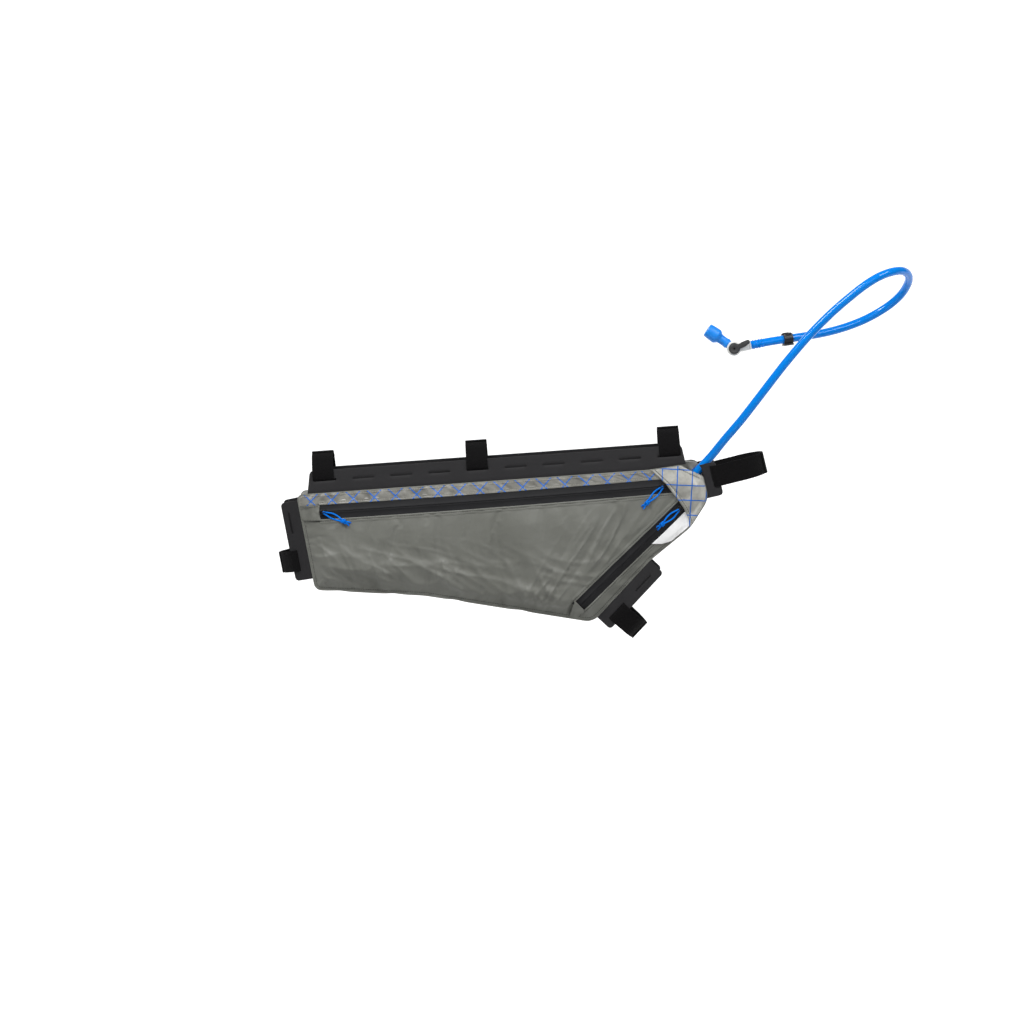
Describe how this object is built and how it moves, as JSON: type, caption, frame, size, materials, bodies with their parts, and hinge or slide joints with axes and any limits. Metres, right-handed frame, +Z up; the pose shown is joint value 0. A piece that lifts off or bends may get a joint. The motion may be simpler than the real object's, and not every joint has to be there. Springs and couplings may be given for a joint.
{
  "type": "bicycle frame bag",
  "caption": "Slim soft bag that hangs in a bicycle frame from slotted strips and hook-and-loop straps, with a drinking hose out of its nose.",
  "frame": {"origin": "on the axis of the bicycle's top tube, in the middle of the middle top strap", "axes": "+X to the front of the bicycle, +Z up, -Y to the side with the zips"},
  "size_m": [0.7639, 0.0978, 0.4494],
  "materials": {
    "body_cloth": "coated ripstop, slight sheen",
    "light_cloth": "light grid ripstop",
    "reflective_cloth": "silver-white reflective",
    "zip_tape": "coated water-resistant zip",
    "coated_strip": "matt coated strip",
    "hook_and_loop": "fuzzy loop pile",
    "cord_blue": "braided cord",
    "slider_black": "satin black",
    "hose_blue": "clear gloss",
    "clip_black": "matt",
    "valve_white": "satin",
    "lever_grey": "matt",
    "bite_blue": "soft satin"
  },
  "bodies": {
    "bag": {"main_panel": "body_cloth", "zip_end_cover": "body_cloth", "zip_foot_cover": "body_cloth", "front_panel": "body_cloth", "far_panel": "body_cloth", "gusset": "body_cloth", "top_band": "light_cloth", "port_flap": "light_cloth", "port_cuff": "light_cloth", "reflective_patch": "reflective_cloth", "top_zip": "zip_tape", "front_zip": "zip_tape", "top_strip_near": "coated_strip", "top_strip_far": "coated_strip", "rear_strip_near": "coated_strip", "rear_strip_far": "coated_strip", "front_strip_near": "coated_strip", "front_strip_far": "coated_strip", "head_strip_near": "coated_strip", "head_strip_far": "coated_strip", "top_strap_rear": "hook_and_loop", "top_strap_middle": "hook_and_loop", "top_strap_front": "hook_and_loop", "seat_tube_strap": "hook_and_loop", "down_tube_strap": "hook_and_loop", "head_tube_strap": "hook_and_loop", "zip_pull_rear": "cord_blue", "zip_pull_top": "cord_blue", "zip_pull_front": "cord_blue", "zip_slider_rear": "slider_black", "zip_slider_top": "slider_black", "zip_slider_front": "slider_black", "hose": "hose_blue", "hose_clip": "clip_black", "valve_body": "valve_white", "bite_valve": "bite_blue"},
    "lever": {"valve_lever": "lever_grey"}
  },
  "joints": [
    {"name": "valve_lever_turn", "type": "hinge", "parent": "bag", "child": "lever", "pos_m": [0.30705, -0.0082, 0.133], "axis": [0, -1, 0], "range_deg": [0, 90]}
  ]
}
